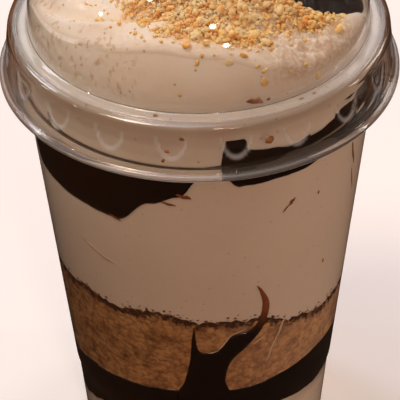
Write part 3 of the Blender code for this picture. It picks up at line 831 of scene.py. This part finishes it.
def cream_top_at(x, y):
    """Height of the cream's top with all its relief."""
    return DECK_LEVEL + swirl_height(x, y) - coil_crease(x, y) + cream_texture(x, y)


def flare_radius(height):
    """Radius of the cream that was squeezed out under the lid's deck."""
    for (low, narrow), (high, wide) in zip(CREAM_FLARE, CREAM_FLARE[1:]):
        if height <= high:
            return narrow + (wide - narrow) * eased(height, low, high)
    return CREAM_FLARE[-1][1]


def flare_lumps(angle, height):
    """Unevenness of the cream behind the skirt, which starts above the tumbler's rim."""
    return 0.25 * eased(height, CUP_HEIGHT, 106.0) * ripple(*at_angle(36, angle), height, 5.0, 6)


def face_pits(angle, rise):
    """Depth of burst bubbles in the cream pressed against the dome, thick on the left."""
    around = 33 * math.radians(angle)
    amount = 0.65 * eased(angle, -104, -128) * eased(rise, 0.0, 1.5)
    small = noise.noise(Vector((around / 1.1, rise / 1.9, 3.0)))
    large = noise.noise(Vector((around / 2.4, rise / 4.2, 8.0)))
    return amount * (0.8 * max(0.0, small - 0.18) + 0.9 * max(0.0, large - 0.22))


def pitted(angle, radius, height):
    """Where the cream pressed to the lid is full of burst bubbles: at the left of the dome."""
    on_dome = eased(height, DECK_LEVEL + 0.5, DECK_LEVEL + 2.5) * eased(radius, 29.0, 30.5)
    return on_dome * max(0.06, eased(angle, -98, -125) * eased(angle, -176, -165))


def dusted(angle, radius, height):
    """Where the finest golden crumbs cover the cream: under and round the heaps."""
    x, y = at_angle(radius, angle)
    near = max(thick * math.exp(-oval_reach(x, y, middle, radii) ** 2 / 1.2)
               for middle, radii, thick in HEAPS)
    return near * eased(height, DECK_LEVEL + 3, DECK_LEVEL + 6) * eased(hollow_reach(x, y), 0.95, 1.1)


def curdled(angle, radius, height):
    """Where the cream is torn and curdled: on the right of its top."""
    away = math.dist(at_angle(radius, angle), TORN_CENTRE)
    return eased(away, TORN_REACH, 0.5 * TORN_REACH) * eased(height, DECK_LEVEL + 2.5, DECK_LEVEL + 4.5)


def make_whipped_cream(finish):
    """Cream squeezed up into the lid: flared under the deck, pressed to the dome, piped on top."""
    count = 480
    floor = border(SAUCE_TOP)
    flare_top, flare_end = CREAM_FLARE[-1]
    under_deck, deck_mouth = DECK_LEVEL - SHEET - 0.1, DOME_RADIUS - SHEET - 0.3

    def flare(share):
        def place(angle):
            low = floor["at"](angle)
            height = low + (flare_top - low) * share
            radius = max(flare_radius(height), inner_wall(height) + REACH_CREAM)
            return radius + flare_lumps(angle, height), height
        return place

    def below_the_deck(share):
        def place(angle):
            radius = flare_end + flare_lumps(angle, flare_top) * (1 - share)
            radius += (deck_mouth - flare_end) * share
            lift = math.sin(min(share * 2.5, 1.0) * math.pi / 2)
            return radius, flare_top + (under_deck - flare_top) * lift
        return place

    def edge_rise(angle):
        reach = dome_radius(smooth_stops(SWIRL_EDGE, angle) - 1.0, SHEET)
        return max(swirl_height(*at_angle(reach, angle)) - LIP_ROUNDING, 0.3)

    def against_dome(share):
        def place(angle):
            rise = edge_rise(angle) * share
            pits = face_pits(angle, rise) * eased(share, 1.0, 0.8)
            return dome_radius(rise, SHEET) - UNDER_DOME - pits, DECK_LEVEL + rise
        return place

    def top(share):
        def place(angle):
            radius = share * (dome_radius(edge_rise(angle), SHEET) - UNDER_DOME)
            x, y = at_angle(radius, angle)
            lip = max(0.0, (share - 0.92) / 0.08)
            rounding = LIP_ROUNDING * (1 - math.sqrt(max(0.0, 1 - lip * lip)))
            relief = (cream_texture(x, y) - coil_crease(x, y)) * (1 - lip)
            return radius, DECK_LEVEL + max(swirl_height(x, y) + relief - rounding, -0.3)
        return place

    shares = [1 - 0.01 * step for step in range(9)] + [0.91 - 0.91 * step / 110 for step in range(110)]
    rings = [[(0, 0, floor["middle"])]]
    rings += [ring_at(count, surface_of(floor, REACH_CREAM, share)) for share in (0.3, 0.6, 0.85)]
    rings += [ring_at(count, flare(step / 16)) for step in range(17)]
    rings += [ring_at(count, below_the_deck(step / 6)) for step in range(1, 7)]
    rings += [ring_at(count, against_dome(step / 28)) for step in range(29)]
    rings += [ring_at(count, top(share)) for share in shares]
    rings += [[(0, 0, DECK_LEVEL + swirl_height(0, 0) + cream_texture(0, 0))]]
    return mesh_piece("piped_cream", *skin(rings), finish)


def stone(draw, size, subdivisions):
    """Points and faces of one uneven crumb."""
    built = bmesh.new()
    bmesh.ops.create_icosphere(built, subdivisions=subdivisions, radius=size)
    stretch = Vector((draw.uniform(0.7, 1.3), draw.uniform(0.7, 1.3), draw.uniform(0.5, 0.95)))
    turn = Matrix.Rotation(draw.uniform(0, math.tau), 3, Vector((draw.gauss(0, 1), draw.gauss(0, 1), 1)))
    where = Vector((draw.random(), draw.random(), draw.random())) * 50
    points = []
    for corner in built.verts:
        rough = 1 + 0.45 * noise.noise(corner.co / size * 1.3 + where)
        points.append(turn @ Vector(a * b * rough for a, b in zip(corner.co, stretch)))
    faces = [tuple(v.index for v in face.verts) for face in built.faces]
    built.free()
    return points, faces


def joined(name, parts, finish, sharpest=38):
    """One mesh from many (points, faces), smooth wherever it bends less than this many degrees."""
    points, faces = [], []
    for some_points, some_faces in parts:
        start = len(points)
        points.extend(some_points)
        faces.extend(tuple(start + corner for corner in face) for face in some_faces)
    piece = mesh_piece(name, points, faces, finish)
    piece.data.set_sharp_from_angle(angle=math.radians(sharpest))
    return piece


def make_crumbs(finish):
    """Golden crumbs: a heap in front of the middle that thins out to single grains."""
    draw = random.Random(11)
    parts = []

    def drop(x, y, size, subdivisions, lift):
        spot = Vector((x, y, cream_top_at(x, y) + lift))
        points, faces = stone(draw, size, subdivisions)
        parts.append(([p + spot for p in points], faces))

    for amount, sizes, subdivisions in CRUMB_KINDS:
        made = 0
        while made < amount:
            x, y = (draw.gauss(middle, spread) for middle, spread in zip(STREWN_CENTRE, STREWN_SPREAD))
            dense = max(thick * math.exp(-oval_reach(x, y, middle, radii) ** 4)
                        for middle, radii, thick in HEAPS)
            astray = math.hypot(x, y) > STREWN_LIMIT or hollow_reach(x, y) < HOLLOW_CLEARANCE
            if draw.random() > STRAY_CHANCE + dense or astray:
                continue
            made += 1
            size = draw.uniform(*sizes)
            heap = HEAP_THICKNESS * dense * draw.random() ** 1.5
            drop(x, y, size, subdivisions, heap + 0.2 * size)
    for x, y, size in LARGE_CRUMBS:
        drop(x, y, size, 3, 0.3 * size)
    for angle, rise, half_length, half_width in DOME_CRUMBS:
        parts.append(pressed_stone(draw, angle, dome_radius(rise, SHEET), DECK_LEVEL + rise,
                                   half_length, half_width))
    return joined("golden_crumbs", parts, finish, 70)


def pressed_stone(draw, angle, radius, height, half_length, half_width):
    """A crumb squashed flat between the cream and the plastic at this radius."""
    outward = Vector((*at_angle(1, angle), 0))
    aside = Vector((-outward.y, outward.x, 0))
    points, faces = stone(draw, 1.0, 2)
    middle = outward * (radius - CRUMB_INSET) + Vector((0, 0, height))
    return [middle + aside * (p.x * half_length) + Vector((0, 0, p.y * half_width))
            + outward * (p.z * CRUMB_FLATNESS) for p in points], faces


def make_stuck_crumbs(finish):
    """Brown crumbs caught between the cream and the lid's deck and skirt."""
    draw = random.Random(3)
    parts = []
    for angle, height, half_length, half_width in LID_CRUMBS:
        down = max(0.0, SKIRT_TOP - height) / (SKIRT_TOP - BEAD_LEVEL)
        radius = SKIRT_TOP_RADIUS + (SKIRT_FOOT_RADIUS - SKIRT_TOP_RADIUS) * down - SHEET
        if height > DECK_LEVEL + 1:
            radius = dome_radius(height - DECK_LEVEL, SHEET)
        elif height > SKIRT_TOP:
            radius = DOME_RADIUS + 1.0
        parts.append(pressed_stone(draw, angle, radius, height, half_length, half_width))
    return joined("stuck_crumbs", parts, finish)


def make_specks(finish):
    """Grains of soaked crumb that were carried up into the mousse along the crumb's top."""
    draw = random.Random(8)
    parts = []
    for _ in range(SPECKS):
        angle, size = draw.uniform(-180, 180), draw.uniform(0.10, 0.42)
        height = crumb_top["at"](angle) + abs(draw.gauss(0, 0.9)) - 0.2
        parts.append(pressed_stone(draw, angle, inner_wall(height) + REACH_CRUMB, height, size, 0.7 * size))
    return joined("crumb_specks", parts, finish)


def make_puddle(finish):
    """Glossy pool of dark sauce in the hollow behind the crest of the cream."""
    count = 72

    def hollow_at(x, y):
        return DECK_LEVEL + max(swirl_height(x, y), -0.5)

    def ring(share, lift):
        points = []
        for step in range(count):
            turn = math.tau * step / count
            wave = 1 + 0.04 * math.sin(3 * turn + 1) + 0.03 * math.sin(7 * turn)
            x = PUDDLE_CENTRE[0] + share * wave * PUDDLE_RADII[0] * math.cos(turn)
            y = PUDDLE_CENTRE[1] + share * wave * PUDDLE_RADII[1] * math.sin(turn)
            inward = min(1.0, PUDDLE_LIMIT / math.hypot(x, y))
            x, y = x * inward, y * inward
            points.append((x, y, hollow_at(x, y) + lift(share)))
        return points

    def bulge(share):
        return PUDDLE_THICKNESS * math.sqrt(max(0.0, 1 - share * share)) + 0.05

    middle = hollow_at(*PUDDLE_CENTRE)
    shares = [step / 16 for step in range(1, 17)]
    rings = [[(*PUDDLE_CENTRE, middle - PUDDLE_ROOT)]]
    rings += [ring(share, lambda s: -PUDDLE_ROOT) for share in shares]
    rings += [ring(share, bulge) for share in reversed(shares)]
    rings += [[(*PUDDLE_CENTRE, middle + bulge(0))]]
    return mesh_piece("puddle", *skin(rings), finish)


# ---------------------------------------------------------------- assembly

cup_plastic = clear_pet("clear_pet_tumbler")
lid_plastic = clear_pet("clear_pet_lid")
mousse_finish = set_cream("chilled_mousse", "#E6DACB", "#E1D4C4", "#D3C1AC", 24.0, 1.5)
cream_finish = set_cream("whipped_cream_piped", "#F4EEE4", "#EFE6D9", "#CDB396", 9.0, 3.0, whipped=True)
chocolate_finish = dark_chocolate("dark_chocolate_set", "#0D0504", "#1A0B08", 0.4)
sauce_finish = dark_chocolate("dark_chocolate_sauce", "#0B0403", "#150706", 0.12)
run_finish = dark_chocolate("dark_chocolate_runs", "#0B0403", "#150706", 0.15, runs=True)
thinned_mousse_finish = set_cream("thinned_mousse", "#D9C3AC", "#CFB89F", "#C4AC94", 24.0, 0.5)
streak_finish = thinning_chocolate("thinned_chocolate", "#150A07", "#8A4A24", 50, 58)
crumb_layer_finish = pressed_crumb("pressed_biscuit_crumb", "#C0925F", "#9A6F46", "#6E4828", "#452814")
golden_finish = golden_crumb("golden_biscuit_crumb", "#F4B464", "#FFCF86", "#FFDE9C", "#FFEABA")
stuck_finish = golden_crumb("browned_biscuit_crumb", "#5E3418", "#82522C", "#A87548", "#D6B48E")
speck_finish = golden_crumb("soaked_biscuit_crumb", "#4A2A12", "#6A401E", "#8A5A30", "#A8783E")


def place(piece, slot, *nodes):
    """Lets a piece ride on the only body and hides the nodes it stands for; slot is not used."""
    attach(piece, "root")
    if nodes:
        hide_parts(*nodes)


place(make_tumbler(cup_plastic), "cup_plastic", "cup")
place(make_lid(lid_plastic), "lid_plastic", "lid")

cream_top = border(CREAM_TOP, 0.25, 6.0, seed=1)
chocolate_top = border(CHOCOLATE_TOP, 0.35, 4.0, seed=2)
crumb_top = border(CRUMB_TOP, 0.8, 1.2, seed=3)
mousse_top = border(MOUSSE_TOP, 0.25, 4.0, seed=4)
sauce_top = border(SAUCE_TOP, 0.25, 4.0, seed=5)

place(layer("cream_at_the_bottom", level(FLOOR_THICKNESS - 0.1), border(CREAM_TOP, 0.25, 6.0, LAPPED, 1),
            REACH_CREAM, mousse_finish), "pale_cream", "bottom_cream")
place(layer("chocolate_band", cream_top, chocolate_top, REACH_CHOCOLATE, chocolate_finish),
      "dark_chocolate", "chocolate_layer")
biscuit_band = layer("biscuit_band", border(CHOCOLATE_TOP, 0.35, 4.0, -LAPPED, 2), crumb_top, REACH_CRUMB,
                     crumb_layer_finish, rows=50)
paint(biscuit_band, "near_top",
      lambda angle, radius, height: eased(crumb_top["at"](angle) - height, 4.6, 0.2))
place(biscuit_band, "biscuit_crumb", "crumb_layer")
place(layer("mousse_band", border(CRUMB_TOP, 0.8, 1.2, -1.5 * LAPPED, 3),
            border(MOUSSE_TOP, 0.25, 4.0, LAPPED, 4), REACH_CREAM, mousse_finish, rows=50),
      "pale_mousse", "mousse")
place(layer("sauce_band", mousse_top, sauce_top, REACH_CHOCOLATE, sauce_finish), "dark_sauce",
      "chocolate_sauce")
streak = wall_patch(smooth_outline(STREAK_OUTLINE, 8), REACH_STREAK, STREAK_DEPTH)
place(mesh_piece("chocolate_streak", *streak, streak_finish), "dark_chocolate")
place(make_specks(speck_finish), "biscuit_crumb")
place(make_smears("sauce_smears", SAUCE_SMEARS, streak_finish), "dark_sauce")
place(make_smears("cream_smears", CREAM_SMEARS, thinned_mousse_finish), "pale_mousse")
piped_cream = make_whipped_cream(cream_finish)
for painted_name, value_at in (("pitted", pitted), ("dusted", dusted), ("curdled", curdled)):
    paint(piped_cream, painted_name, value_at)
place(piped_cream, "whipped_cream", "whipped_cream")
place(make_crumbs(golden_finish), "whipped_cream")
place(make_stuck_crumbs(stuck_finish), "whipped_cream")
place(make_puddle(run_finish), "dark_sauce", "sauce_puddle")


# ---------------------------------------------------------------- floor, light and camera

def make_floor():
    """Plain pale floor, 6 m wide, that lights nothing and shows in nothing."""
    half = 3.0
    mesh = bpy.data.meshes.new("floor")
    mesh.from_pydata([(-half, -half, 0), (half, -half, 0), (half, half, 0), (-half, half, 0)], [],
                     [(0, 1, 2, 3)])
    floor = bpy.data.objects.new("floor", mesh)
    bpy.context.scene.collection.objects.link(floor)
    material, _, _ = new_material("pale_floor", base_color=srgb("#FAFAFA"), roughness=0.9,
                                  emission_color=srgb("#FFFFFF"), emission_strength=0.16)
    mesh.materials.append(material)
    floor.visible_glossy = floor.visible_transmission = floor.visible_diffuse = False


def hang_lamp(name, kind, aim, direction, distance, power, colour):
    """Lamp of one kind that looks at a point from an azimuth and elevation; lengths in metres."""
    around, above = (math.radians(turn) for turn in direction)
    away = Vector((math.cos(around) * math.cos(above), math.sin(around) * math.cos(above), math.sin(above)))
    data = bpy.data.lights.new(name, kind)
    data.energy = power
    data.color = srgb(colour)[:3]
    lamp = bpy.data.objects.new(name, data)
    bpy.context.scene.collection.objects.link(lamp)
    lamp.location = Vector(aim) + away * distance
    lamp.rotation_mode = "QUATERNION"
    lamp.rotation_quaternion = away.to_track_quat("Z", "Y")
    return data


def area_light(name, direction, size, power, colour):
    """Soft rectangular lamp 1 m from the lid."""
    data = hang_lamp(name, "AREA", (0.0, 0.0, 0.1), direction, 1.0, power, colour)
    data.shape = "RECTANGLE"
    data.size, data.size_y = size


def spot_light(name, aim, direction, distance, cone, power, colour):
    """Small lamp with a soft-edged beam of this many degrees."""
    data = hang_lamp(name, "SPOT", aim, direction, distance, power, colour)
    data.spot_size = math.radians(cone)
    data.spot_blend = 1.0
    data.shadow_soft_size = 0.012


def light_the_scene():
    """Soft white light from above and behind, and a dim warm room in front."""
    world = bpy.data.worlds.new("studio")
    bpy.context.scene.world = world
    world.use_nodes = True
    tree = world.node_tree
    path = add(tree, "ShaderNodeLightPath")
    direction = add(tree, "ShaderNodeTexCoord").outputs["Generated"]
    upward = add(tree, "ShaderNodeSeparateXYZ", {"Vector": direction}).outputs["Z"]
    sideways = add(tree, "ShaderNodeSeparateXYZ", {"Vector": direction}).outputs["X"]
    across = add(tree, "ShaderNodeMapRange", {"Value": sideways, "From Min": -1.0}).outputs["Result"]
    mirrored = mixed(tree, shaped(tree, upward, 0.25, 0.95), ramp(tree, across, ROOM_FLOOR), ROOM_CEILING)
    room = mixed(tree, path.outputs["Is Glossy Ray"], ramp(tree, across, ROOM_GLOW), mirrored)
    room = mixed(tree, path.outputs["Is Transmission Ray"], room, ramp(tree, across, ROOM_BEHIND))
    backdrop = mixed(tree, path.outputs["Is Camera Ray"], room, BACKDROP)
    tree.links.new(backdrop, tree.nodes["Background"].inputs["Color"])
    area_light("softbox_above", (150, 80), (0.45, 0.45), 1.5, "#C8DCFF")
    area_light("softbox_left", (-158, 66), (0.30, 0.30), 3.9, "#FFE8CE")
    area_light("window_behind", (137, 44), (0.22, 0.22), 1.5, "#E8F0FF")
    area_light("panel_behind", (90, 39), (0.55, 0.30), 0.9, "#EEF4FA")
    area_light("lamp_right", (38, 28), (0.22, 0.40), 1.1, "#FFF2E4")
    area_light("strip_left", (171, 27), (0.04, 0.16), 0.3, "#FFF8F0")
    area_light("strip_right", (9, 27), (0.05, 0.20), 0.4, "#FFF8F0")
    spot_light("lamp_on_dome", (-0.026, -0.020, 0.117), (-165, 28), 0.6, 9, 2.6, "#FFEEDC")
    area_light("lamp_front_high", (-79, 43), (0.06, 0.06), 0.6, "#FFE3CC")
    area_light("lamp_front_low", (-72, 24), (0.06, 0.06), 0.6, "#FFE3CC")


def aim_camera():
    """Looks down on the tumbler from the front, near enough for the dome and base to leave the frame."""
    distance, elevation, aim_height = 0.369, math.radians(39.12), 0.0618
    roll, sideways_pixels, focal_pixels, frame_pixels = -0.85, 1.35, 1677.9, 400
    data = bpy.data.cameras.new("camera")
    data.sensor_width = 36.0
    data.lens = data.sensor_width * focal_pixels / frame_pixels
    data.shift_x = -sideways_pixels / frame_pixels
    data.clip_start, data.clip_end = 0.01, 20.0
    camera = bpy.data.objects.new("camera", data)
    bpy.context.scene.collection.objects.link(camera)
    back = Vector((0, -math.cos(elevation), math.sin(elevation)))
    camera.location = Vector((0, 0, aim_height)) + back * distance
    camera.rotation_mode = "QUATERNION"
    spin = Matrix.Rotation(math.radians(roll), 3, "Z").to_quaternion()
    camera.rotation_quaternion = back.to_track_quat("Z", "Y") @ spin
    bpy.context.scene.camera = camera


make_floor()
light_the_scene()
aim_camera()
bpy.context.scene.view_settings.view_transform = "Standard"
